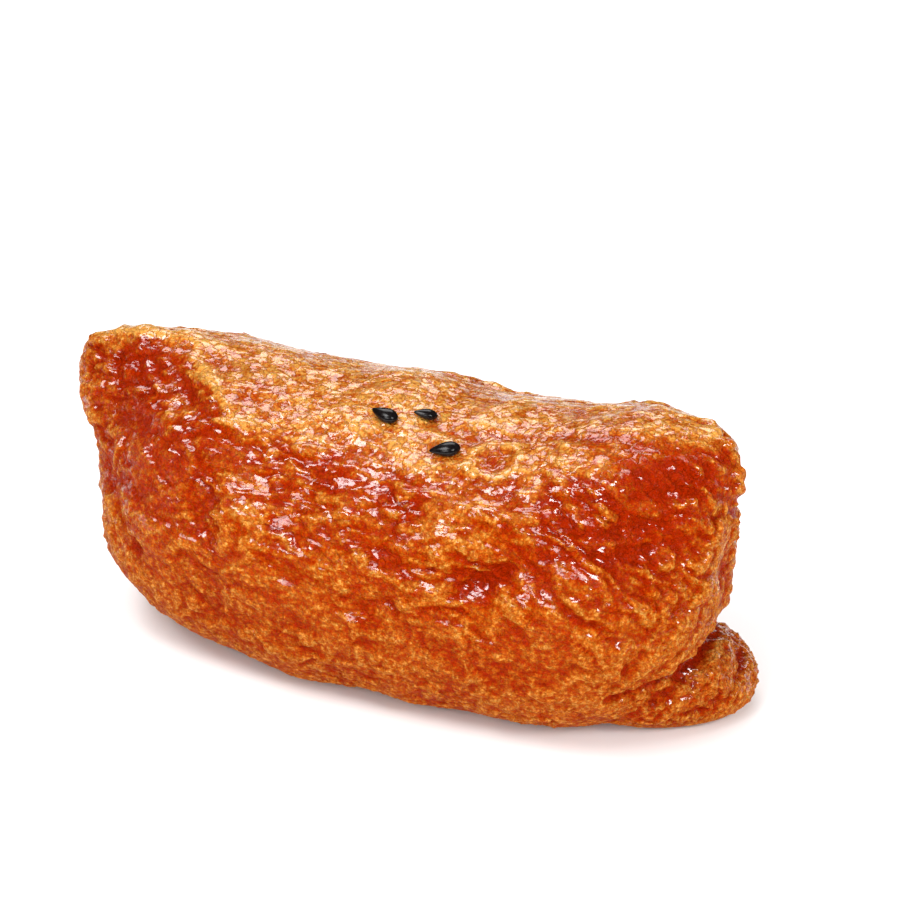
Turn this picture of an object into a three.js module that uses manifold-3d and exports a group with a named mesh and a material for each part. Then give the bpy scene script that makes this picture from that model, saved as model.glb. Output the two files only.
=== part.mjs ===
// Inari sushi: a pouch of seasoned fried tofu stuffed with rice, modelled as one closed solid.
// Millimetres, +Z up. X runs along the pouch, the front face looks along -Y, and the flat foot
// lies on z = 0. The pouch is a rounded loaf whose two top corners are pinched into ears that
// lean back, with the mouth of the bag folded under and its tucked ends showing low down.

import * as THREE from "three";
import { mergeVertices } from "three/addons/utils/BufferGeometryUtils.js";
import Module from "manifold-3d";

// Driving sizes of the stuffed pouch.
const BODY_WIDTH = 34.4;
const BODY_HEIGHT = 31.2;
const FOOT_CUT = 1.2; // how far the round underside is pressed flat
const AROUND = 60; // faces round a cross-section
const ALONG = 68; // faces from one end to the other

// How square the loaf is: 2 is round, larger is boxier.
const END_SQUARENESS = 5;
const TOP_SQUARENESS = 2.35;
const UNDER_SQUARENESS = 3;
const NARROWING_POWER = 4; // a higher power keeps the middle straight for longer

// Reach of each end from the middle, by height, and the ear at its top: how far it stands out,
// rises and leans back, and the shares of the thickness lost all the way down the end and where
// the corner is pinched.
const LEFT_END = {
  foot: 32, waist: 37.4, waistHeight: 12, narrowing: 0.34,
  ear: 7, earHeight: 27.5, earLift: 2.2, earLean: 3.5, earStart: 0.5, pinch: 0.74,
};
const RIGHT_END = {
  foot: 29, waist: 33.6, waistHeight: 14, narrowing: 0.26,
  ear: 1, earHeight: 26, earLift: 3.6, earLean: 2.6, earStart: 0.66, pinch: 0.45,
};
const EAR_SPREAD = 6.5; // how far below and above its height an ear reaches
const EAR_TOP = 0.9; // share of the half height where the corners are fully pinched
const LIFT_START = 0.3; // shares of the end's reach between which the top edge rises
const LIFT_END = 0.95;

// The folded-under mouth of the bag: rounded lobes that show low down past each end.
const TUCK_LOBES = [
  { at: [26.2, -1.6, 5.2], half: [10, 8.4, 5.2], turn: 0.45 },
  { at: [27.5, 1, 3], half: [10.2, 8.8, 4], turn: 0.55 },
  { at: [-32.4, 4.2, 10.5], half: [6, 9, 8.5], turn: 0.1 },
];
const LOBE_SQUARENESS = 2.4;
const LOBE_AROUND = 24;
const LOBE_ALONG = 16;

// Draped creases of the skin, each from one [x, z] to another on the front (-1) or back (+1).
const CREASES = [
  { side: -1, from: [34, 27], to: [31, 18], width: 2.2, depth: 0.6 },
  { side: -1, from: [31, 18], to: [26, 9], width: 2.4, depth: 0.5 },
  { side: -1, from: [19, 28], to: [30, 24], width: 2, depth: 0.6 },
  { side: -1, from: [11, 19.5], to: [17, 23], width: 2.4, depth: 0.8 },
  { side: -1, from: [-34.5, 20], to: [-28, 12], width: 2, depth: 0.9 },
  { side: -1, from: [-33, 27], to: [-20, 24], width: 2.6, depth: 0.7 },
  { side: -1, from: [-24, 10], to: [-8, 8], width: 2.4, depth: 0.5 },
  { side: 1, from: [33, 25], to: [24, 10], width: 2.4, depth: 1 },
  { side: 1, from: [-34, 25], to: [-27, 10], width: 2.4, depth: 1 },
  { side: 1, from: [-16, 22], to: [4, 17], width: 2.6, depth: 0.7 },
  { side: 1, from: [8, 9], to: [22, 12], width: 2.4, depth: 0.6 },
];

// Soft unevenness from the rice pressing out: waves of [x, y, z] turns over the pouch length.
const LUMP_HEIGHT = 0.2;
const LUMP_WAVES = [
  { turns: [4.3, 1.2, 0.8], start: 0.4 },
  { turns: [-2.6, 2.1, 1.7], start: 2.1 },
  { turns: [6.1, -1.4, 2.4], start: 4.4 },
];
const LUMP_LENGTH = 80;

// Creases fade out between these shares of the half width, so that they leave the top alone.
const CREASE_FADE = [0.05, 0.4];

const CUTTER = 200; // side of the block that presses the foot flat
const MERGE = 1e-4; // corners closer than this are one

const wasm = await Module();
wasm.setup();

const { smoothstep, lerp, clamp } = THREE.MathUtils;

function hill(distance, width) {
  return Math.exp(-((distance / width) ** 2));
}

// A direction from the centre of the loaf to shares of its half sizes.
function loafShares(direction) {
  const squareness = direction.z > 0 ? TOP_SQUARENESS : UNDER_SQUARENESS;
  const across =
    (Math.abs(direction.y) ** squareness + Math.abs(direction.z) ** squareness) ** (1 / squareness);
  const scale =
    (Math.abs(direction.x) ** END_SQUARENESS + across ** END_SQUARENESS) ** (-1 / END_SQUARENESS);
  return direction.clone().multiplyScalar(scale);
}

function endReach(end, height) {
  const flank = lerp(end.foot, end.waist, smoothstep(height, 0, end.waistHeight));
  return flank + end.ear * hill(height - end.earHeight, EAR_SPREAD);
}

function distanceToCrease(x, z, { from, to }) {
  const run = [to[0] - from[0], to[1] - from[1]];
  const along = ((x - from[0]) * run[0] + (z - from[1]) * run[1]) / (run[0] ** 2 + run[1] ** 2);
  const share = clamp(along, 0, 1);
  return Math.hypot(x - from[0] - share * run[0], z - from[1] - share * run[1]);
}

// How far the creases press the skin in at a place on the front or back.
function creasePress(point, sideShare) {
  const facing = smoothstep(Math.abs(sideShare), ...CREASE_FADE);
  return CREASES.filter((crease) => crease.side * sideShare > 0)
    .map((crease) => crease.depth * hill(distanceToCrease(point.x, point.z, crease), crease.width))
    .reduce((sum, press) => sum + press * facing, 0);
}

function lump(point) {
  const unit = (2 * Math.PI) / LUMP_LENGTH;
  return LUMP_WAVES.map(({ turns, start }) =>
    Math.sin(start + unit * (turns[0] * point.x + turns[1] * point.y + turns[2] * point.z)),
  ).reduce((sum, wave) => sum + LUMP_HEIGHT * wave, 0);
}

// The skin of the stuffed bag in a direction from its centre.
function bodyPoint(direction) {
  const share = loafShares(direction);
  const end = share.x < 0 ? LEFT_END : RIGHT_END;
  const along = Math.abs(share.x);
  const halfHeight = (BODY_HEIGHT + FOOT_CUT) / 2;
  const top = smoothstep(share.z, 0, EAR_TOP);
  const corner = smoothstep(along, end.earStart, 1) * top;
  const rise = end.earLift * smoothstep(along, LIFT_START, LIFT_END) * top;
  const z = halfHeight - FOOT_CUT + share.z * halfHeight + rise;
  const narrowing = 1 - end.narrowing * along ** NARROWING_POWER;
  const halfWidth = (BODY_WIDTH / 2) * narrowing * (1 - end.pinch * corner);
  const point = new THREE.Vector3(share.x * endReach(end, z), share.y * halfWidth, z);
  const swell = direction.clone().multiplyScalar(lump(point));
  point.y -= Math.sign(share.y) * creasePress(point, share.y);
  point.y += end.earLean * corner;
  return point.add(swell);
}

// A round grid with its poles on X, every point moved by a function of its direction.
function movedSphere(around, along, move) {
  const geometry = new THREE.SphereGeometry(1, around, along).rotateZ(-Math.PI / 2);
  const places = geometry.getAttribute("position");
  const point = new THREE.Vector3();
  for (let i = 0; i < places.count; i++) {
    const moved = move(point.fromBufferAttribute(places, i).normalize());
    places.setXYZ(i, moved.x, moved.y, moved.z);
  }
  return geometry;
}

function solidOf(geometry) {
  const bare = geometry.clone();
  bare.deleteAttribute("normal");
  bare.deleteAttribute("uv");
  const merged = mergeVertices(bare, MERGE);
  return new wasm.Manifold(
    new wasm.Mesh({
      numProp: 3,
      vertProperties: new Float32Array(merged.getAttribute("position").array),
      triVerts: new Uint32Array(merged.index.array),
    }),
  );
}

function geometryOf(solid) {
  const mesh = solid.getMesh();
  const geometry = new THREE.BufferGeometry();
  geometry.setAttribute("position", new THREE.BufferAttribute(mesh.vertProperties, 3));
  geometry.setIndex(new THREE.BufferAttribute(mesh.triVerts, 1));
  geometry.computeVertexNormals();
  return geometry;
}

function tuckLobe({ at, half, turn }) {
  const lobe = movedSphere(LOBE_AROUND, LOBE_ALONG, (direction) => {
    const size = [direction.x, direction.y, direction.z]
      .reduce((sum, share) => sum + Math.abs(share) ** LOBE_SQUARENESS, 0);
    return direction.clone().multiplyScalar(size ** (-1 / LOBE_SQUARENESS));
  });
  return solidOf(lobe.scale(...half).rotateZ(turn).translate(...at));
}

const belowFloor = solidOf(
  new THREE.BoxGeometry(CUTTER, CUTTER, CUTTER).translate(0, 0, -CUTTER / 2),
);
let stuffed = solidOf(movedSphere(AROUND, ALONG, bodyPoint));
for (const lobe of TUCK_LOBES) {
  stuffed = stuffed.add(tuckLobe(lobe));
}

// The middle of the pouch in X and Y lies over the origin.
const geometry = geometryOf(stuffed.subtract(belowFloor));
geometry.computeBoundingBox();
const middle = geometry.boundingBox.getCenter(new THREE.Vector3());
geometry.translate(-middle.x, -middle.y, 0);

const pouch = new THREE.Mesh(
  geometry,
  new THREE.MeshStandardMaterial({ color: 0xc8601e, roughness: 0.4, metalness: 0 }),
);
pouch.name = "pouch";

const inari = new THREE.Group();
inari.name = "inari_sushi";
inari.add(pouch);

export default inari;
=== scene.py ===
"""Inari sushi: the looks of a glazed fried tofu pouch with black sesame seeds.

The tofu skin is made from the pouch solid: rounded over, creased along its folds, then wrinkled and
blistered by a relief tree. Lengths are in millimetres until they meet Blender, which is in metres.
"""

import math

import bmesh
import bpy
import numpy as np
from mathutils import Matrix, Vector
from mathutils.bvhtree import BVHTree


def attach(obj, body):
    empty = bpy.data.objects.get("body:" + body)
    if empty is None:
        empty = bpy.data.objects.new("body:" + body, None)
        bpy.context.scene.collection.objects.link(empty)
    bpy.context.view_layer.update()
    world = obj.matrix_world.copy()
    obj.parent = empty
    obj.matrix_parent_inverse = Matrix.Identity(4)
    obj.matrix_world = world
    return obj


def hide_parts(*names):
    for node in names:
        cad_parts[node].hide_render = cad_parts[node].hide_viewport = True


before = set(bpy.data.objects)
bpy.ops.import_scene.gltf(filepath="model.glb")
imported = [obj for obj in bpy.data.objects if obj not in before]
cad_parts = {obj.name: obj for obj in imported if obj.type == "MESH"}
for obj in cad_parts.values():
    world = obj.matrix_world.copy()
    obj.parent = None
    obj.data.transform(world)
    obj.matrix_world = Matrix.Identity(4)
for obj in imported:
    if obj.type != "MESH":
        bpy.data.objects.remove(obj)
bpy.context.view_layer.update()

MM = 0.001

# Tofu skin: how fine its mesh is, and how far the facets of the solid are rounded over.
SKIN_CELL = 0.36 * MM
ROUNDING_PASSES = 10
WELD_REACH = 0.01 * MM  # corners of the solid closer than this are one

# Rolled edges and ridges of the skin: points along each in mm, its half width and how far it rises.
RIDGES = {
    "left ear rim": (
        [(-23, 1.7, 32.2), (-29.2, 1.9, 32.2), (-34.2, 2.4, 31.6), (-37.8, 3, 30.3),
         (-40, 3.2, 27.6), (-39.4, 2.6, 24.8), (-37.4, 1.8, 22)],
        1.3, 0.5,
    ),
    "left shoulder fold": (
        [(-25, -0.5, 31.8), (-20, -5.5, 31.2), (-15.5, -9.8, 29.9), (-11, -11.2, 29)],
        1.3, 0.45,
    ),
    "blister": ([(10.9, -14.6, 25.5), (14.1, -14.6, 24.9)], 2.2, 0.6),
    "golden lump": ([(-11.6, -15.6, 23), (-10.2, -15.8, 22.6)], 1.5, 0.5),
    "right seam": (
        [(33.5, 4.4, 32), (35.6, 3.4, 30.6), (36.9, 2.4, 28.6), (37.4, 1.4, 26.2),
         (37.2, 0.8, 23.5), (36.9, 1.6, 20), (36.6, 2.6, 16), (36.4, 3.4, 12.5)],
        1.0, 0.6,
    ),
    "back seam": (
        [(-32, 9, 28), (-20, 13.5, 26), (-4, 14.5, 25), (12, 14, 26.5), (28, 9, 28)],
        1.4, 0.5,
    ),
}

# Creases and hollows, in the same form, with how deep each is pressed in.
CREASES = {
    "hollow under the left rim": (
        [(-34.8, -0.8, 29.7), (-30.6, -2.2, 30.2), (-26, -3.3, 30.8), (-22, -7, 30.2)], 1.6, 0.7,
    ),
    "hollow of the left ear": ([(-32, -3.5, 28), (-26.5, -7, 28.6), (-20.5, -10.4, 28.6)], 3.4, 0.6),
    "top edge groove": (
        [(5, -3.5, 30.9), (12, -4.4, 30.8), (17, -2.5, 31.1), (23, -3, 32.3), (28, -2.6, 33),
         (33, -0.5, 32)],
        1.2, 0.35,
    ),
    "crease under the blister": (
        [(14.4, -16.2, 20.1), (16.2, -15.7, 21.2), (18.1, -15.1, 22.6)], 0.7, 0.6,
    ),
    "notch under the right corner": ([(36, -4, 26.2), (37.6, 0, 25.2), (37.2, 4, 25)], 0.8, 0.5),
    "drape high": (
        [(36.8, -2, 23.5), (35.7, -6, 19.5), (33.5, -10, 15.5), (30.5, -13.4, 12)], 0.8, 0.35,
    ),
    "drape middle": (
        [(37, -1.5, 19.5), (36.2, -6, 15.5), (34.2, -9.8, 12), (31.5, -12.6, 9.5)], 0.8, 0.4,
    ),
    "drape low": ([(36.8, -1, 15.5), (36.2, -5, 12.5), (35.2, -8, 10.5)], 0.8, 0.4),
    "right pull upper": ([(20, -11.5, 28.9), (27, -9.5, 29.5), (33, -4.5, 29.6)], 0.7, 0.35),
    "right pull middle": ([(19, -13.5, 27), (27, -12, 27), (33.5, -6, 27)], 0.7, 0.35),
    "right pull lower": ([(21, -14.6, 24.6), (28.5, -12.7, 24.8), (34, -7, 25)], 0.7, 0.35),
    "left tuck crease": (
        [(-36, -3.5, 21.4), (-34, -5.6, 19.6), (-31.6, -8.3, 18.5), (-29, -11.3, 16.5),
         (-26, -14, 14)],
        1.0, 0.6,
    ),
    "over the right tuck": (
        [(29.5, -13.2, 7.6), (32.6, -11.2, 8.4), (34.6, -8.2, 8.9), (35.5, -5, 9.4),
         (35.8, -1, 9.6), (35.8, 3, 9.4)],
        0.9, 1.0,
    ),
    "between the right tucks": (
        [(38.6, 4.5, 6), (39, 0, 5.4), (38, -3.5, 4.4), (36, -7.2, 3.4)], 0.6, 0.7,
    ),
    "left dip": ([(-17, -15, 25), (-17.5, -16.5, 20)], 1.8, 0.5),
    "back pull left": ([(-33, 7, 24), (-27, 13, 17), (-22, 16, 10)], 1.1, 0.7),
    "back pull right": ([(33, 6, 23), (28, 13, 16), (22, 16, 9)], 1.1, 0.7),
    "back dimple": ([(-4, 16, 19), (5, 16.5, 16)], 1.6, 0.6),
}
RING_CENTRE = (13.5, -7.1, 30.2)
RING_RADIUS = 2.6
RING_WIDTH = 0.8
RING_HEIGHT = 0.32

# Folds wander off their paths by these waves: turn over x, y, z in mm, size and start.
WANDER_WAVES = [((1.9, 1.3, 1.6), 0.5, 0.0), ((-1.1, 2.3, 0.9), 0.4, 1.7)]
FOLD_SWAY = 0.3
PULL_SWAY = 0.1  # for the drapes and pulls, which are tauter
SCALLOP_LENGTH = 1.7  # the right seam rises and falls along its length
SCALLOP_DEPTH = 0.35
FOOT_FADE = 2.0  # no fold reaches lower than this above the foot

# The tucks at the right end lie beyond these x and below these z, faded from none to full.
TUCK_ALONG = (27, 33)
TUCK_HEIGHT = (11, 8.5)

# How many times each surface measure is averaged over neighbouring corners.
NEAR_PASSES = 14
WIDE_PASSES = 90
FACING_PASSES = 60

# Patches where the skin is redder (below 0) or more golden (above 0) than elsewhere: the golden ones
# and some of the red are the skin's own colour, and the red ones in the hollow under the left rim, on
# the left ear and along the creases and the top edge groove are painted shade. The middle of each
# patch in mm, its reach, and how much.
TONES_AND_PAINTED_SHADE = [
    ((-32.2, -1.4, 30.3), 4.0, -0.4), ((-27.4, -3.2, 30.9), 4.0, -0.35),
    ((-19.8, -10.0, 29.5), 3.5, -0.35), ((-27.2, -7.6, 27.9), 5.5, -0.2),
    ((-15.0, -5.0, 31.3), 2.2, -0.3), ((-19.5, -13.2, 26.3), 4.5, -0.15),
    ((-26.4, -12.3, 21.8), 6.0, -0.15), ((-2.1, -11.5, 28.0), 3.0, -0.15),
    ((3.9, -15.0, 24.6), 3.0, -0.15), ((13.5, -7.1, 30.2), 2.0, -0.2),
    ((14.7, -15.6, 21.1), 2.5, -0.3), ((22.3, -13.0, 27.1), 5.0, -0.2),
    ((23.9, -4.2, 32.7), 3.0, -0.35), ((29.5, -4.7, 31.8), 4.0, -0.4),
    ((33.7, -2.4, 30.3), 4.0, -0.35), ((32.9, -6.3, 26.9), 4.5, -0.2),
    ((28.0, -11.0, 27.3), 5.0, -0.2), ((26.8, -13.5, 24.9), 5.0, -0.15),
    ((31.4, -9.6, 23.7), 4.5, -0.1), ((35.5, -6.0, 6.5), 5.0, -0.12),
    ((-35.3, 2.2, 30.8), 2.5, 0.3), ((-10.8, -15.7, 22.8), 2.0, 0.25),
    ((-31.6, -10.5, 14.5), 4.0, 0.2), ((11.1, -13.6, 26.7), 3.0, 0.18),
    ((14.3, -14.8, 24.5), 2.5, 0.15), ((21.9, -7.7, 31.5), 2.5, 0.2),
    ((37.0, -1.6, 26.0), 2.0, 0.25), ((37.0, -3.4, 21.6), 3.6, 0.2),
    ((36.5, -2.7, 15.8), 4.0, 0.2), ((36.0, -7.5, 14.9), 3.5, 0.12),
    ((32.5, -11.8, 15.5), 4.0, 0.08), ((29.2, -14.4, 10.7), 3.0, 0.1),
    ((39.4, 0.0, 3.6), 2.6, 0.2), ((24.0, -1.0, 33.0), 9.0, -0.12),
]

# Sesame: where each seed lies on top (x, y in mm), the way its tip points, and its size.
SEEDS = [
    {"at": (-0.1, -4.5), "tip_turn": 168, "size": 1.06},
    {"at": (3.8, -2.8), "tip_turn": 200, "size": 0.86},
    {"at": (8.0, -7.4), "tip_turn": 203, "size": 1.1},
]
SEED_LENGTH = 3.0
SEED_WIDTH = 1.9
SEED_THICKNESS = 1.35
SEED_REST = 0.36  # height of a seed's middle over the skin, as a share of its thickness
SEED_PROBE = (1.1, 0.8)  # how far along and across a seed the skin's slope is felt
ABOVE_ALL = 100 * MM

# Camera: azimuth from the front, elevation, distance and lens, and the point that it looks at.
AZIMUTH = math.radians(22)
ELEVATION = math.radians(30)
DISTANCE = 275 * MM
LENS = 100
SENSOR = 36
AIM = Vector((3.8, 4.3, 23.1)) * MM

# Studio lights, in metres: where each panel hangs, its two sides, its watts, and whether the
# glaze mirrors it. The fills and the world only brighten, so that the dark skin stays clear.
STUDIO_LIGHTS = {
    "key softbox": ((-0.14, -0.18, 0.43), (0.24, 0.2), 1.4, True),
    "front softbox": ((-0.06, -0.40, 0.30), (0.22, 0.15), 0.6, True),
    "top softbox": ((-0.14, 0.32, 0.38), (0.36, 0.24), 1.05, True),
    "right softbox": ((0.30, -0.22, 0.36), (0.14, 0.1), 0.7, True),
    "overhead fill": ((0.0, 0.05, 0.6), (0.5, 0.5), 0.65, False),
    "right fill": ((0.45, -0.30, 0.25), (0.5, 0.5), 1.9, False),
}
LIGHT_AIM = Vector((0, 0, 0.015))
WORLD_STRENGTH = 0.4
FLOOR_HALF = 1.5


# ---------------------------------------------------------------- node helpers

def add_node(tree, kind, links=None, **settings):
    """A node with its settings, and its inputs given by name or index as values or sockets."""
    node = tree.nodes.new(kind)
    for name, value in settings.items():
        setattr(node, name, value)
    for key, value in (links or {}).items():
        socket = node.inputs[key]
        if isinstance(value, bpy.types.NodeSocket):
            tree.links.new(value, socket)
        else:
            socket.default_value = value
    return node


def math_node(tree, operation, first, second=0.0, clamp=False):
    node = add_node(tree, "ShaderNodeMath", {0: first, 1: second}, operation=operation)
    node.use_clamp = clamp
    return node.outputs[0]


def multiply_add(tree, value, factor, addend):
    node = add_node(tree, "ShaderNodeMath", {0: value, 1: factor, 2: addend}, operation="MULTIPLY_ADD")
    return node.outputs[0]


def vector_node(tree, operation, first, second):
    node = add_node(tree, "ShaderNodeVectorMath", {0: first}, operation=operation)
    target = "Scale" if operation == "SCALE" else 1
    socket = node.inputs[target]
    if isinstance(second, bpy.types.NodeSocket):
        tree.links.new(second, socket)
    else:
        socket.default_value = second
    return node.outputs[0]


def ramp_value(tree, value, low, high, to_low=0.0, to_high=1.0):
    """A value mapped smoothly from one range to another, and held at its ends."""
    node = add_node(
        tree, "ShaderNodeMapRange",
        {"Value": value, "From Min": low, "From Max": high, "To Min": to_low, "To Max": to_high},
        interpolation_type="SMOOTHSTEP",
    )
    return node.outputs[0]


def swing(tree, value, amount):
    """Noise that lies about 0.5 turned into a swing about 0."""
    return math_node(tree, "MULTIPLY", math_node(tree, "SUBTRACT", value, 0.5), amount)


def add_scaled(tree, base, value, factor):
    return math_node(tree, "ADD", base, math_node(tree, "MULTIPLY", value, factor))


def tuck_share(tree, split):
    """1 on the tucks at the right end, 0 elsewhere."""
    along = ramp_value(tree, split[0], *TUCK_ALONG)
    below = ramp_value(tree, split[2], *TUCK_HEIGHT)
    return math_node(tree, "MULTIPLY", along, below)


# ---------------------------------------------------------------- tofu skin: form

def smooth_copy_of_pouch():
    """The pouch solid as one closed smooth mesh of small even cells."""
    source = bpy.data.objects["pouch"]
    mesh = source.data.copy()
    mesh.name = "tofu_skin"
    work = bmesh.new()
    work.from_mesh(mesh)
    bmesh.ops.remove_doubles(work, verts=work.verts, dist=WELD_REACH)
    work.to_mesh(mesh)
    work.free()
    mesh.materials.clear()
    skin = bpy.data.objects.new("tofu_skin", mesh)
    bpy.context.scene.collection.objects.link(skin)
    rounded = skin.modifiers.new("rounded", "SUBSURF")
    rounded.levels = 1
    rounded.render_levels = 1
    even = skin.modifiers.new("even", "REMESH")
    even.mode = "VOXEL"
    even.voxel_size = SKIN_CELL
    even.use_smooth_shade = True
    soft = skin.modifiers.new("soft", "SMOOTH")
    soft.factor = 0.5
    soft.iterations = ROUNDING_PASSES
    apply_modifiers(skin)
    return skin


def apply_modifiers(piece):
    """The piece's evaluated mesh takes the place of its mesh, and its modifiers go."""
    graph = bpy.context.evaluated_depsgraph_get()
    made = bpy.data.meshes.new_from_object(piece.evaluated_get(graph), depsgraph=graph)
    piece.modifiers.clear()
    old = piece.data
    piece.data = made
    made.name = piece.name
    bpy.data.meshes.remove(old)


def read_points(mesh):
    points = np.empty(len(mesh.vertices) * 3)
    mesh.vertices.foreach_get("co", points)
    return points.reshape(-1, 3) / MM


def read_normals(mesh):
    normals = np.empty(len(mesh.vertices) * 3)
    mesh.vertices.foreach_get("normal", normals)
    return normals.reshape(-1, 3)


def distance_to_path(points, path):
    """Each point's distance in mm to a path of straight runs, and how far along the path it is."""
    path = np.asarray(path, dtype=float)
    best = np.full(len(points), np.inf)
    along = np.zeros(len(points))
    travelled = 0.0
    for start, end in zip(path[:-1], path[1:]):
        run = end - start
        length = np.linalg.norm(run)
        share = np.clip((points - start) @ run / length ** 2, 0, 1)
        gap = np.linalg.norm(points - start - share[:, None] * run, axis=1)
        nearer = gap < best
        best = np.where(nearer, gap, best)
        along = np.where(nearer, travelled + share * length, along)
        travelled += length
    return best, along


def press_folds(skin):
    """Raise the ridges and press in the creases along the skin's own normals."""
    mesh = skin.data
    points = read_points(mesh)
    normals = read_normals(mesh)
    wander = sum(
        size * np.sin(points @ np.array(turns) + start) for turns, size, start in WANDER_WAVES
    )
    rise = np.zeros(len(points))
    for name, (path, width, height) in RIDGES.items():
        gap, along = distance_to_path(points, path)
        scallop = 1.0
        if name == "right seam":
            wave = np.sin(along * 2 * math.pi / SCALLOP_LENGTH)
            scallop = 1 - SCALLOP_DEPTH + SCALLOP_DEPTH * wave
        rise += height * scallop * np.exp(-(((gap + FOLD_SWAY * wander) / width) ** 2))
    for name, (path, width, depth) in CREASES.items():
        gap, _ = distance_to_path(points, path)
        sway = PULL_SWAY if "drape" in name or "pull" in name else FOLD_SWAY
        rise -= depth * np.exp(-(((gap + sway * wander) / width) ** 2))
    gap = np.linalg.norm(points - np.array(RING_CENTRE), axis=1)
    rise += RING_HEIGHT * np.exp(-(((gap - RING_RADIUS) / RING_WIDTH) ** 2))
    rise -= 0.5 * RING_HEIGHT * np.exp(-((gap / (0.6 * RING_RADIUS)) ** 2))
    rise *= np.clip(points[:, 2] / FOOT_FADE, 0, 1)
    moved = (points + normals * rise[:, None]) * MM
    mesh.vertices.foreach_set("co", moved.ravel())
    mesh.update()


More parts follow.
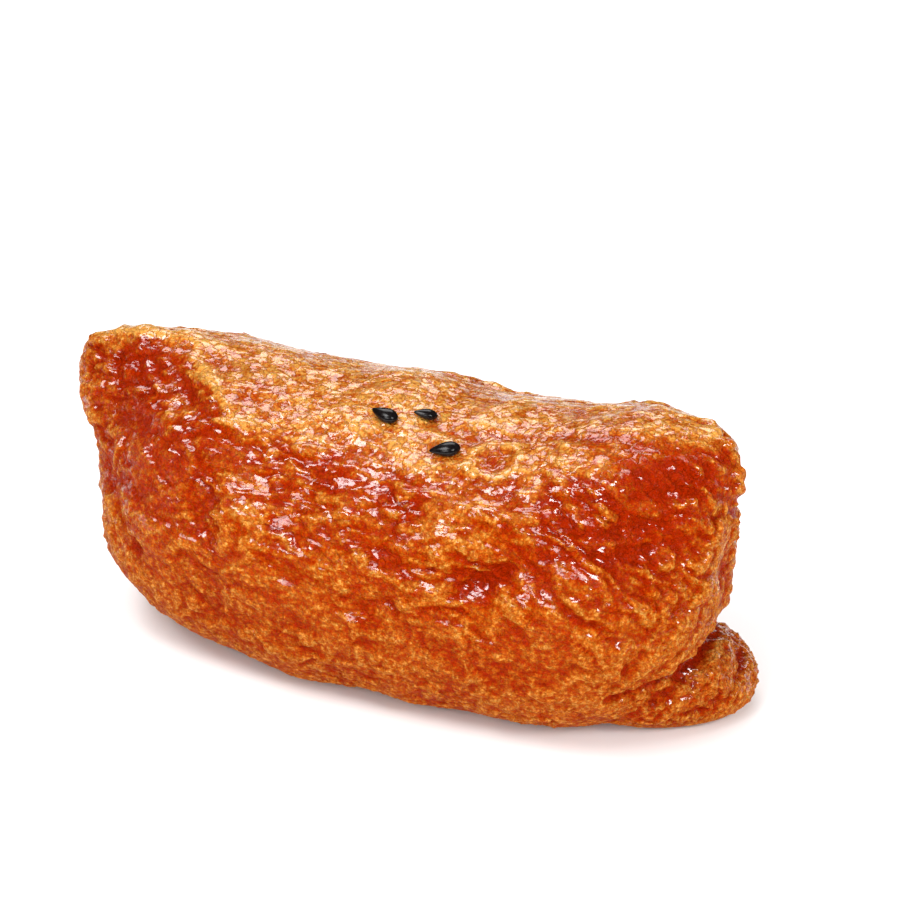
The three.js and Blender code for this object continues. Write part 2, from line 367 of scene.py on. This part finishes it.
def relief_tree():
    """Geometry nodes that wrinkle and blister the skin along its normals."""
    tree = bpy.data.node_groups.new("skin_relief", "GeometryNodeTree")
    tree.interface.new_socket("Geometry", in_out="INPUT", socket_type="NodeSocketGeometry")
    sizes = {
        "Lump height": 0.3, "Lump size": 9.0,
        "Fold height": 0.7, "Fold size": 4.5,
        "Wrinkle height": 0.54, "Wrinkle size": 2.2,
        "Blister height": 0.12, "Blister size": 0.85,
        "Stretch": 2.5,
        "Seed": 7.0,
    }
    for name, value in sizes.items():
        socket = tree.interface.new_socket(name, in_out="INPUT", socket_type="NodeSocketFloat")
        socket.default_value = value
    tree.interface.new_socket("Geometry", in_out="OUTPUT", socket_type="NodeSocketGeometry")
    given = add_node(tree, "NodeGroupInput").outputs

    place = vector_node(
        tree, "SCALE", add_node(tree, "GeometryNodeInputPosition").outputs[0], 1 / MM
    )
    normal = add_node(tree, "GeometryNodeInputNormal").outputs[0]
    split = add_node(tree, "ShaderNodeSeparateXYZ", {0: place}).outputs
    facing = add_node(tree, "ShaderNodeSeparateXYZ", {0: normal}).outputs

    # The noise drifts sideways by up to about a millimetre, so that no wrinkle runs straight.
    drift = add_node(tree, "ShaderNodeTexNoise", {"Vector": place, "Scale": 0.22, "Detail": 1.0})
    centred = vector_node(tree, "SUBTRACT", drift.outputs["Color"], (0.5, 0.5, 0.5))
    drifted = vector_node(tree, "ADD", place, vector_node(tree, "SCALE", centred, 3.2))
    shifted = vector_node(
        tree, "ADD", drifted,
        add_node(tree, "ShaderNodeCombineXYZ", {0: given["Seed"], 1: given["Seed"]}).outputs[0],
    )

    # Wrinkles run along the pouch, and tilt up towards its right end.
    pull = ramp_value(tree, split[0], 12, 34)
    tilt = math_node(tree, "MULTIPLY", pull, -0.35)
    turned = add_node(
        tree, "ShaderNodeVectorRotate", {"Vector": shifted, "Angle": tilt}, rotation_type="Y_AXIS"
    ).outputs[0]
    squeeze = add_node(
        tree, "ShaderNodeCombineXYZ",
        {0: math_node(tree, "DIVIDE", 1.0, given["Stretch"]), 1: 1.0, 2: 1.0},
    ).outputs[0]
    stretched = vector_node(tree, "MULTIPLY", turned, squeeze)

    # Upper skin is wrinkled, the top is calmer, and low down the bumps are small and round.
    upper = ramp_value(tree, split[2], 9, 19)
    top = ramp_value(tree, facing[2], 0.78, 0.97)
    calm_top = multiply_add(tree, top, -0.7, 1.0)

    def noise(place_socket, size, detail, roughness=0.5):
        scale = math_node(tree, "DIVIDE", 1.0, size)
        return add_node(
            tree, "ShaderNodeTexNoise",
            {"Vector": place_socket, "Scale": scale, "Detail": detail, "Roughness": roughness},
        ).outputs[0]

    def billow(value):
        """Round crests with sharp valleys between them, about 0 on average."""
        centred_value = math_node(tree, "SUBTRACT", value, 0.5)
        folded = math_node(tree, "MULTIPLY", math_node(tree, "ABSOLUTE", centred_value), 5.0)
        return math_node(tree, "SUBTRACT", math_node(tree, "MINIMUM", folded, 1.3), 0.45)

    lump = swing(tree, noise(shifted, given["Lump size"], 1.0), 3.0)
    lump = math_node(tree, "MULTIPLY", lump, given["Lump height"])
    fold = swing(tree, noise(stretched, given["Fold size"], 2.5, 0.55), 3.0)
    fold_share = multiply_add(tree, upper, 0.6, 0.4)
    fold = math_node(tree, "MULTIPLY", math_node(tree, "MULTIPLY", fold, fold_share), calm_top)
    wrinkle = add_node(
        tree, "ShaderNodeMix",
        {0: upper, 2: billow(noise(drifted, given["Wrinkle size"], 2.0)),
         3: billow(noise(stretched, given["Wrinkle size"], 2.0))},
    ).outputs[0]
    patch = ramp_value(tree, noise(turned, 6.0, 1.0), 0.36, 0.62, 0.35, 1.25)
    wrinkle = math_node(tree, "MULTIPLY", wrinkle, patch)
    wrinkle_share = multiply_add(tree, upper, 0.45, 0.55)
    wrinkle = math_node(tree, "MULTIPLY", wrinkle, wrinkle_share)
    wrinkle = math_node(tree, "MULTIPLY", wrinkle, calm_top)
    # The tucks at the right end are covered in small round bumps.
    tuck = tuck_share(tree, split)
    blister = math_node(tree, "SUBTRACT", noise(shifted, given["Blister size"], 2.0), 0.5)
    blister_share = add_scaled(tree, multiply_add(tree, tuck, 5.0, 3.0), upper, -1.6)
    blister = math_node(tree, "MULTIPLY", blister, blister_share)
    blister = math_node(tree, "MULTIPLY", blister, calm_top)
    height = math_node(tree, "MULTIPLY", fold, given["Fold height"])
    height = add_scaled(tree, height, wrinkle, given["Wrinkle height"])
    height = add_scaled(tree, height, blister, given["Blister height"])
    height = math_node(tree, "ADD", height, lump)
    above_foot = ramp_value(tree, split[2], 0.2, 2.5)
    height = math_node(tree, "MULTIPLY", height, above_foot)
    offset = vector_node(tree, "SCALE", vector_node(tree, "SCALE", normal, height), MM)
    moved = add_node(
        tree, "GeometryNodeSetPosition", {"Geometry": given["Geometry"], "Offset": offset}
    ).outputs[0]
    whole = add_node(tree, "GeometryNodeRealizeInstances", {0: moved}).outputs[0]
    coloured = add_node(
        tree, "GeometryNodeSetMaterial", {"Geometry": whole, "Material": skin_material()}
    )
    add_node(tree, "NodeGroupOutput", {0: coloured.outputs[0]})
    return tree


def add_relief(skin):
    modifier = skin.modifiers.new("relief", "NODES")
    modifier.node_group = relief_tree()
    apply_modifiers(skin)


def smoothed(values, edges, count, passes):
    """Values averaged over their neighbours along the mesh's edges, pass after pass."""
    first, second = edges[:, 0], edges[:, 1]
    neighbours = np.bincount(first, minlength=count) + np.bincount(second, minlength=count)
    columns = values.T
    for _ in range(passes):
        columns = np.stack([
            (column + (np.bincount(first, column[second], count)
             + np.bincount(second, column[first], count)) / neighbours) / 2
            for column in columns
        ])
    return columns.T


def store_tones_and_painted_shade(skin):
    """Store how much more golden or redder each place is than the skin as a whole; the red in hollows
    and creases is painted shade.
    """
    points = read_points(skin.data)
    tone_and_painted_shade = np.zeros(len(points))
    for middle, reach, amount in TONES_AND_PAINTED_SHADE:
        gap = np.linalg.norm(points - np.array(middle), axis=1)
        tone_and_painted_shade += amount * np.exp(-((gap / reach) ** 2))
    attribute = skin.data.attributes.new("tone_and_painted_shade", "FLOAT", "POINT")
    attribute.data.foreach_set("value", tone_and_painted_shade.astype(np.float32))


def store_hollows(skin):
    """Store how far each place stands above its surroundings, near by and more widely; the skin's
    colour uses it for painted light on crests and painted shade in hollows.
    """
    mesh = skin.data
    points = read_points(mesh)
    normals = read_normals(mesh)
    edges = np.empty(len(mesh.edges) * 2, dtype=np.int64)
    mesh.edges.foreach_get("vertices", edges)
    edges = edges.reshape(-1, 2)
    near = smoothed(points, edges, len(points), NEAR_PASSES)
    wide = smoothed(near, edges, len(points), WIDE_PASSES)
    for name, soft in (("rise_near", near), ("rise_wide", wide)):
        rise = np.einsum("ij,ij->i", points - soft, normals)
        attribute = mesh.attributes.new(name, "FLOAT", "POINT")
        attribute.data.foreach_set("value", rise.astype(np.float32))
    facing = smoothed(normals, edges, len(points), FACING_PASSES)
    up = facing[:, 2] / np.linalg.norm(facing, axis=1)
    mesh.attributes.new("up", "FLOAT", "POINT").data.foreach_set("value", up.astype(np.float32))


# ---------------------------------------------------------------- materials

def new_material(name):
    material = bpy.data.materials.new(name)
    material.use_nodes = True
    tree = material.node_tree
    tree.nodes.clear()
    shader = add_node(tree, "ShaderNodeBsdfPrincipled")
    add_node(tree, "ShaderNodeOutputMaterial", {"Surface": shader.outputs[0]})
    return material, tree, shader


def mix_colours(tree, share, first, second, mode="MIX"):
    node = add_node(tree, "ShaderNodeMix", {0: share, 6: first, 7: second}, data_type="RGBA")
    node.blend_type = mode
    return node.outputs[2]


def linear(red, green, blue):
    """An sRGB colour, 0 to 255, as the linear colour that a socket takes."""
    def one(value):
        share = value / 255
        return share / 12.92 if share <= 0.04045 else ((share + 0.055) / 1.055) ** 2.4
    return (one(red), one(green), one(blue), 1.0)


# sRGB colours of the skin, from deep red to the palest gold of the top: the skin's own colours, also
# used for painted shade in hollows (red end) and painted light on crests (gold end).
SKIN_AND_PAINTED_SHADING_COLOURS = [
    (0.0, (174, 38, 0)), (0.3, (187, 56, 0)), (0.55, (197, 84, 8)),
    (0.78, (222, 124, 34)), (1.0, (252, 178, 84)),
]
CRACK_COLOUR = (176, 72, 8)
LOW_SKIN_TINT = (240, 218, 206)
SEED_COLOURS = [(5, 4, 5), (26, 20, 20)]


def skin_material():
    """Simmered fried tofu: red-orange hollows and golden crests (partly own colour, partly painted
    shade and light), pale crackled top, wet glaze.
    """
    material, tree, shader = new_material("glazed_tofu")
    place = add_node(tree, "ShaderNodeTexCoord").outputs["Object"]
    scaled = vector_node(tree, "SCALE", place, 1 / MM)
    split = add_node(tree, "ShaderNodeSeparateXYZ", {0: scaled}).outputs
    up = add_node(tree, "ShaderNodeAttribute", attribute_name="up").outputs["Fac"]
    near = add_node(tree, "ShaderNodeAttribute", attribute_name="rise_near").outputs["Fac"]
    wide = add_node(tree, "ShaderNodeAttribute", attribute_name="rise_wide").outputs["Fac"]

    def noise(size, detail, roughness=0.5):
        return add_node(
            tree, "ShaderNodeTexNoise",
            {"Vector": scaled, "Scale": 1 / size, "Detail": detail, "Roughness": roughness},
        ).outputs[0]

    mottle = noise(2.6, 3.0, 0.6)
    fleck = noise(0.45, 3.0, 0.7)
    along = vector_node(tree, "MULTIPLY", scaled, (0.66, 1.0, 1.0))
    pucker = add_node(
        tree, "ShaderNodeTexNoise",
        {"Vector": along, "Scale": 1 / 0.85, "Detail": 4.0, "Roughness": 0.62},
    ).outputs[0]
    ripple = add_node(
        tree, "ShaderNodeTexNoise",
        {"Vector": vector_node(tree, "MULTIPLY", scaled, (0.5, 1.0, 1.0)), "Scale": 1 / 1.5,
         "Detail": 1.6, "Roughness": 0.5},
    ).outputs[0]

    low = ramp_value(tree, split[2], 21, 6)
    top = ramp_value(tree, up, 0.78, 0.95)

    # How golden a place is: crests are, hollows are not, and noise breaks the line between. Lighter
    # crests and redder hollows are partly the skin's own colour and partly painted light and painted
    # shade, set by how far each place stands above its surroundings.
    tone_and_painted_shade = add_node(tree, "ShaderNodeAttribute", attribute_name="tone_and_painted_shade").outputs["Fac"]
    gold_and_painted_shading = multiply_add(tree, near, 1.9, 0.41)
    # The tone patches add the skin's own colour, and painted shade where they are red in hollows and
    # creases.
    gold_and_painted_shading = math_node(tree, "ADD", gold_and_painted_shading, tone_and_painted_shade)
    gold_and_painted_shading = add_scaled(tree, gold_and_painted_shading, wide, 0.4)
    gold_and_painted_shading = math_node(tree, "ADD", gold_and_painted_shading, swing(tree, mottle, 0.9))
    pucker_share = multiply_add(tree, math_node(tree, "MAXIMUM", top, low), -0.5, 1.1)
    gold_and_painted_shading = math_node(tree, "ADD", gold_and_painted_shading, swing(tree, pucker, pucker_share))
    gold_and_painted_shading = add_scaled(tree, gold_and_painted_shading, low, 0.14)
    gold_and_painted_shading = math_node(tree, "MINIMUM", gold_and_painted_shading, 0.75)
    gold_and_painted_shading = math_node(tree, "ADD", gold_and_painted_shading, swing(tree, fleck, 1.7))
    gold_and_painted_shading = math_node(tree, "ADD", gold_and_painted_shading, math_node(tree, "MULTIPLY", top, 0.42), clamp=True)
    skin_and_painted_shading_ramp = add_node(tree, "ShaderNodeValToRGB", {0: gold_and_painted_shading})
    ramp = skin_and_painted_shading_ramp.color_ramp
    while len(ramp.elements) < len(SKIN_AND_PAINTED_SHADING_COLOURS):
        ramp.elements.new(0.5)
    for element, (position, colour) in zip(ramp.elements, SKIN_AND_PAINTED_SHADING_COLOURS):
        element.position = position
        element.color = linear(*colour)
    colour = skin_and_painted_shading_ramp.outputs[0]
    duller = mix_colours(tree, 1.0, colour, linear(*LOW_SKIN_TINT), "MULTIPLY")
    colour = mix_colours(tree, math_node(tree, "MULTIPLY", low, 0.6), colour, duller)

    # Fine crackle of the fried surface, clearest on top.
    wobble = add_node(tree, "ShaderNodeTexNoise", {"Vector": scaled, "Scale": 1.2, "Detail": 2.0})
    wobble = vector_node(tree, "SUBTRACT", wobble.outputs["Color"], (0.5, 0.5, 0.5))
    wobbled = vector_node(tree, "ADD", scaled, vector_node(tree, "SCALE", wobble, 0.9))
    cells = add_node(
        tree, "ShaderNodeTexVoronoi", {"Vector": wobbled, "Scale": 1 / 1.05},
        feature="DISTANCE_TO_EDGE",
    ).outputs["Distance"]
    crack = ramp_value(tree, cells, 0.11, 0.0)
    crack = math_node(tree, "MULTIPLY", crack, ramp_value(tree, fleck, 0.4, 0.6))
    crack_top = math_node(tree, "MULTIPLY", crack, multiply_add(tree, top, 0.6, 0.08))
    colour = mix_colours(tree, crack_top, colour, linear(*CRACK_COLOUR))

    # Wet glaze above, drier skin low down.
    rough = ramp_value(tree, add_scaled(tree, low, mottle, 0.3), 0.1, 1.1, 0.24, 0.5)

    grain = noise(0.42, 3.0, 0.65)
    beads = add_node(
        tree, "ShaderNodeTexVoronoi", {"Vector": wobbled, "Scale": 1 / 0.62, "Smoothness": 0.6},
        feature="SMOOTH_F1",
    ).outputs["Distance"]
    surface = math_node(tree, "SUBTRACT", grain, math_node(tree, "MULTIPLY", beads, 0.55))
    surface = math_node(tree, "ADD", math_node(tree, "MULTIPLY", surface, 1.1),
                        math_node(tree, "MULTIPLY", pucker, 1.7))
    surface = math_node(tree, "SUBTRACT", surface, math_node(tree, "MULTIPLY", crack, 0.5))
    bump = add_node(
        tree, "ShaderNodeBump", {"Strength": 1.0, "Distance": 0.85 * MM, "Height": surface}
    ).outputs[0]
    domes = math_node(tree, "MULTIPLY", math_node(tree, "MINIMUM", cells, 0.35), 0.3)
    ripple = math_node(tree, "MULTIPLY", ripple, multiply_add(tree, top, -0.85, 1.0))
    wet_surface = math_node(tree, "ADD", ripple, math_node(tree, "MULTIPLY", domes, top))
    wet_bump = add_node(
        tree, "ShaderNodeBump",
        {"Strength": 1.0, "Distance": 0.45 * MM, "Height": wet_surface},
    ).outputs[0]
    # The glaze lies on small flat facets: crackle cells on top, long ones on the faces.
    top_facets = add_node(tree, "ShaderNodeTexVoronoi", {"Vector": wobbled, "Scale": 1 / 1.05})
    long_facets = add_node(
        tree, "ShaderNodeTexVoronoi",
        {"Vector": vector_node(tree, "MULTIPLY", wobbled, (0.42, 1.0, 1.0)), "Scale": 1 / 0.95},
    )
    facet = add_node(
        tree, "ShaderNodeMix",
        {0: top, 4: long_facets.outputs["Color"], 5: top_facets.outputs["Color"]},
        data_type="VECTOR",
    ).outputs[1]
    centred = vector_node(tree, "SUBTRACT", facet, (0.5, 0.5, 0.5))
    tilt = vector_node(tree, "SCALE", centred, multiply_add(tree, top, -0.2, 0.7))
    tilted = vector_node(tree, "ADD", wet_bump, tilt)
    wet_normal = vector_node(tree, "NORMALIZE", tilted, (0, 0, 0))
    tree.links.new(wet_normal, shader.inputs["Coat Normal"])

    tree.links.new(colour, shader.inputs["Base Color"])
    tree.links.new(rough, shader.inputs["Roughness"])
    tree.links.new(bump, shader.inputs["Normal"])
    shader.inputs["Subsurface Weight"].default_value = 0.2
    shader.inputs["Subsurface Radius"].default_value = (1.0, 0.36, 0.12)
    shader.inputs["Subsurface Scale"].default_value = 1.1 * MM
    # The glaze runs off the crests' edges and dries low down, so it is broken into patches.
    tuck = tuck_share(tree, split)
    dry = math_node(tree, "SUBTRACT", low, tuck)
    wet = math_node(tree, "SUBTRACT", math_node(tree, "MULTIPLY", pucker, 1.6), dry)
    wet = add_scaled(tree, wet, near, 1.5)
    wet = math_node(tree, "ADD", wet, tone_and_painted_shade)
    share = add_node(tree, "ShaderNodeSeparateXYZ", {0: facet}).outputs[0]
    wet = add_scaled(tree, wet, share, 0.9)
    glaze = ramp_value(tree, wet, 0.35, 1.0)
    wet_facing = add_node(tree, "ShaderNodeSeparateXYZ", {0: wet_normal}).outputs[2]
    glaze = math_node(tree, "MULTIPLY", glaze, ramp_value(tree, wet_facing, 0.22, 0.6))
    glaze = math_node(tree, "MULTIPLY", glaze, math_node(tree, "SUBTRACT", 1.0, crack))
    tree.links.new(glaze, shader.inputs["Coat Weight"])
    shader.inputs["Specular IOR Level"].default_value = 0.04
    shader.inputs["Coat Roughness"].default_value = 0.14
    shader.inputs["Coat IOR"].default_value = 1.8
    shader.inputs["Coat Tint"].default_value = (1.0, 0.97, 0.93, 1.0)
    return material


def seed_material():
    """Black sesame: near black, a little brown, faintly ribbed, softly shiny."""
    material, tree, shader = new_material("black_sesame")
    place = add_node(tree, "ShaderNodeTexCoord").outputs["Object"]
    scaled = vector_node(tree, "SCALE", place, 1 / MM)
    grain = add_node(
        tree, "ShaderNodeTexNoise", {"Vector": scaled, "Scale": 3.2, "Detail": 3.0}
    ).outputs[0]
    darker, paler = (linear(*colour) for colour in SEED_COLOURS)
    colour = mix_colours(tree, grain, darker, paler)
    bump = add_node(
        tree, "ShaderNodeBump", {"Strength": 0.4, "Distance": 0.03 * MM, "Height": grain}
    ).outputs[0]
    tree.links.new(colour, shader.inputs["Base Color"])
    tree.links.new(bump, shader.inputs["Normal"])
    tree.links.new(ramp_value(tree, grain, 0.3, 0.7, 0.16, 0.26), shader.inputs["Roughness"])
    shader.inputs["Specular IOR Level"].default_value = 0.3
    return material


# ---------------------------------------------------------------- sesame seeds

def seed_tree():
    """Geometry nodes: one teardrop seed, stood on every dot with the dot's own turn and size."""
    tree = bpy.data.node_groups.new("sesame", "GeometryNodeTree")
    tree.interface.new_socket("Geometry", in_out="INPUT", socket_type="NodeSocketGeometry")
    for name, value in {
        "Length": SEED_LENGTH, "Width": SEED_WIDTH, "Thickness": SEED_THICKNESS,
    }.items():
        socket = tree.interface.new_socket(name, in_out="INPUT", socket_type="NodeSocketFloat")
        socket.default_value = value
    tree.interface.new_socket("Geometry", in_out="OUTPUT", socket_type="NodeSocketGeometry")
    given = add_node(tree, "NodeGroupInput").outputs

    ball = add_node(
        tree, "GeometryNodeMeshUVSphere", {"Segments": 40, "Rings": 28, "Radius": 0.5}
    ).outputs["Mesh"]
    lying = add_node(
        tree, "GeometryNodeTransform", {"Geometry": ball, "Rotation": (0, math.pi / 2, 0)}
    ).outputs[0]
    place = add_node(tree, "GeometryNodeInputPosition").outputs[0]
    split = add_node(tree, "ShaderNodeSeparateXYZ", {0: place}).outputs
    # The seed is narrow at its tip (+X) and full at its other end.
    taper = ramp_value(tree, split[0], -0.35, 0.7, 1.0, 0.42)
    width = math_node(tree, "MULTIPLY", taper, given["Width"])
    thickness = math_node(tree, "MULTIPLY", taper, given["Thickness"])
    across = math_node(tree, "MULTIPLY", split[1], width)
    through = math_node(tree, "MULTIPLY", split[2], thickness)
    along = math_node(tree, "MULTIPLY", split[0], given["Length"])
    shape = add_node(tree, "ShaderNodeCombineXYZ", {0: along, 1: across, 2: through}).outputs[0]
    sized = vector_node(tree, "SCALE", shape, MM)
    drop = add_node(
        tree, "GeometryNodeSetPosition", {"Geometry": lying, "Position": sized}
    ).outputs[0]
    smooth = add_node(tree, "GeometryNodeSetShadeSmooth", {"Geometry": drop}).outputs[0]

    def stored(name, kind):
        node = add_node(tree, "GeometryNodeInputNamedAttribute", {"Name": name}, data_type=kind)
        return node.outputs[0]

    placed = add_node(
        tree, "GeometryNodeInstanceOnPoints",
        {
            "Points": given["Geometry"], "Instance": smooth,
            "Rotation": stored("seed_turn", "FLOAT_VECTOR"), "Scale": stored("seed_size", "FLOAT"),
        },
    ).outputs[0]
    whole = add_node(tree, "GeometryNodeRealizeInstances", {0: placed}).outputs[0]
    coloured = add_node(
        tree, "GeometryNodeSetMaterial", {"Geometry": whole, "Material": seed_material()}
    )
    add_node(tree, "NodeGroupOutput", {0: coloured.outputs[0]})
    return tree


def lay_seeds(skin):
    """Each seed lies flat on the skin, sunk a little into the glaze."""
    mesh = skin.data
    surface = BVHTree.FromPolygons(
        [v.co for v in mesh.vertices], [p.vertices for p in mesh.polygons]
    )

    def skin_below(x, y):
        return surface.ray_cast(Vector((x, y, ABOVE_ALL)), Vector((0, 0, -1)))[0]

    dots = bpy.data.meshes.new("sesame_seeds")
    places, turns, sizes = [], [], []
    for seed in SEEDS:
        x, y = (value * MM for value in seed["at"])
        around = [
            skin_below(
                x + SEED_PROBE[0] * MM * math.cos(angle), y + SEED_PROBE[1] * MM * math.sin(angle)
            )
            for angle in (0, math.pi / 2, math.pi, 3 * math.pi / 2)
        ]
        up = (around[0] - around[2]).cross(around[1] - around[3]).normalized()
        heading = math.radians(seed["tip_turn"])
        forward = Vector((math.cos(heading), math.sin(heading), 0))
        forward = (forward - up * forward.dot(up)).normalized()
        side = up.cross(forward)
        turn = Matrix((forward, side, up)).transposed().to_euler()
        resting = max(skin_below(x, y).z, sum(point.z for point in around) / len(around))
        places.append(Vector((x, y, resting)) + up * SEED_REST * SEED_THICKNESS * MM)
        turns.extend(turn)
        sizes.append(seed["size"])
    dots.from_pydata(places, [], [])
    dots.attributes.new("seed_turn", "FLOAT_VECTOR", "POINT").data.foreach_set("vector", turns)
    dots.attributes.new("seed_size", "FLOAT", "POINT").data.foreach_set("value", sizes)
    seeds = bpy.data.objects.new("sesame_seeds", dots)
    bpy.context.scene.collection.objects.link(seeds)
    modifier = seeds.modifiers.new("sesame", "NODES")
    modifier.node_group = seed_tree()
    apply_modifiers(seeds)
    return seeds


# ---------------------------------------------------------------- studio

def studio_camera():
    back = Vector((
        math.sin(AZIMUTH) * math.cos(ELEVATION),
        -math.cos(AZIMUTH) * math.cos(ELEVATION),
        math.sin(ELEVATION),
    ))
    data = bpy.data.cameras.new("camera")
    data.lens = LENS
    data.sensor_width = SENSOR
    data.clip_start = 0.01
    camera = bpy.data.objects.new("camera", data)
    bpy.context.scene.collection.objects.link(camera)
    camera.location = AIM + back * DISTANCE
    camera.rotation_euler = back.to_track_quat("Z", "Y").to_euler()
    bpy.context.scene.camera = camera


def studio_floor():
    half = FLOOR_HALF
    mesh = bpy.data.meshes.new("floor")
    mesh.from_pydata(
        [(-half, -half, 0), (half, -half, 0), (half, half, 0), (-half, half, 0)], [], [(0, 1, 2, 3)]
    )
    floor = bpy.data.objects.new("floor", mesh)
    bpy.context.scene.collection.objects.link(floor)
    material, _, shader = new_material("pale_floor")
    shader.inputs["Base Color"].default_value = (0.9, 0.9, 0.9, 1.0)
    shader.inputs["Roughness"].default_value = 0.8
    shader.inputs["Specular IOR Level"].default_value = 0.1
    mesh.materials.append(material)


def soft_light(name, place, size, watts, mirrored):
    data = bpy.data.lights.new(name, "AREA")
    data.shape = "RECTANGLE"
    data.size, data.size_y = size
    data.energy = watts
    light = bpy.data.objects.new(name, data)
    bpy.context.scene.collection.objects.link(light)
    light.location = place
    light.visible_glossy = mirrored
    light.rotation_euler = (Vector(place) - LIGHT_AIM).to_track_quat("Z", "Y").to_euler()


def studio_light():
    for name, (place, size, watts, mirrored) in STUDIO_LIGHTS.items():
        soft_light(name, place, size, watts, mirrored)
    world = bpy.data.worlds.new("studio")
    world.use_nodes = True
    background = world.node_tree.nodes["Background"]
    background.inputs["Color"].default_value = (1.0, 1.0, 1.0, 1.0)
    background.inputs["Strength"].default_value = WORLD_STRENGTH
    bpy.context.scene.world = world
    world.cycles_visibility.glossy = False
    bpy.context.scene.view_settings.view_transform = "Standard"


# ---------------------------------------------------------------- build

studio_camera()
studio_floor()
studio_light()

tofu_skin = smooth_copy_of_pouch()
press_folds(tofu_skin)
add_relief(tofu_skin)
store_hollows(tofu_skin)
store_tones_and_painted_shade(tofu_skin)
sesame_seeds = lay_seeds(tofu_skin)

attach(tofu_skin, "root")
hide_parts("pouch")
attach(sesame_seeds, "root")
